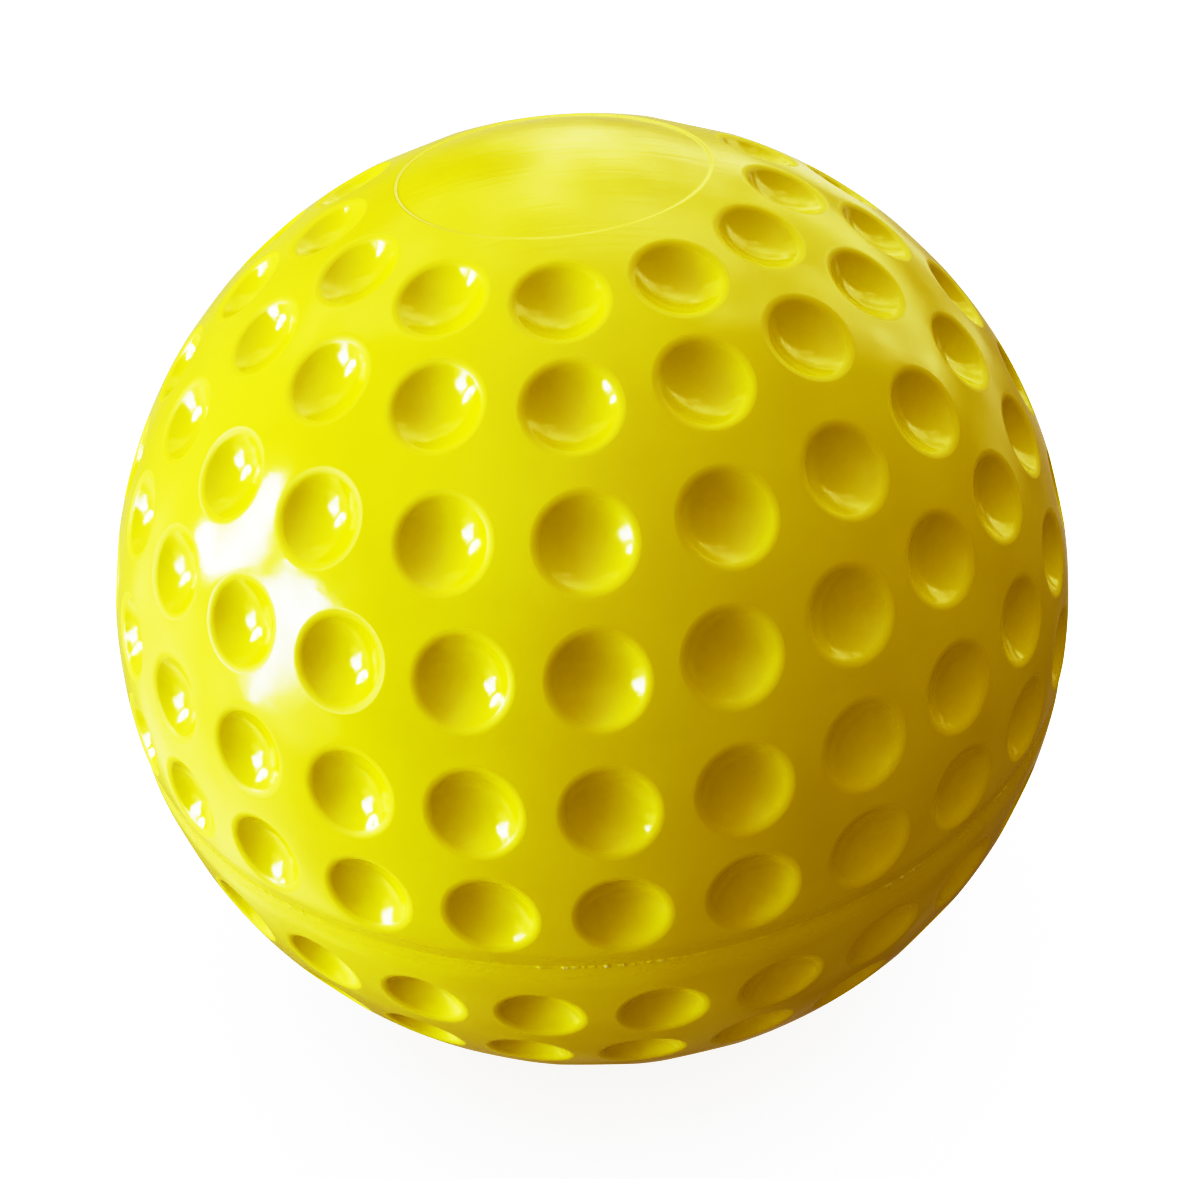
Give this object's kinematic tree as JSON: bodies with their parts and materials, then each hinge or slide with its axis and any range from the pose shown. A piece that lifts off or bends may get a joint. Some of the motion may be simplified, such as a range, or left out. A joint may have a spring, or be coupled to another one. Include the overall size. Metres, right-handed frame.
{
  "type": "dimpled practice ball",
  "caption": "Dimpled practice ball: moulded cups with round dimples over a solid core, bonded at the equator, with a plain pole inside a fine engraved circle.",
  "frame": {"origin": "centre of the ball", "axes": "+Z through the upper pole, square to the joint between the two cups; -Y is the front, where every ring of the upper cup has a dimple; +X is to the right of the front"},
  "size_m": [0.072, 0.072, 0.072],
  "materials": {
    "yellow_cover": "gloss",
    "joint_bead": "satin",
    "adhesive": "satin",
    "cork_rubber": "matte"
  },
  "bodies": {
    "root": {"core": "cork_rubber", "adhesive_coat": "adhesive", "joint_ring": "joint_bead", "upper_cup": "yellow_cover", "lower_cup": "yellow_cover"}
  },
  "joints": []
}
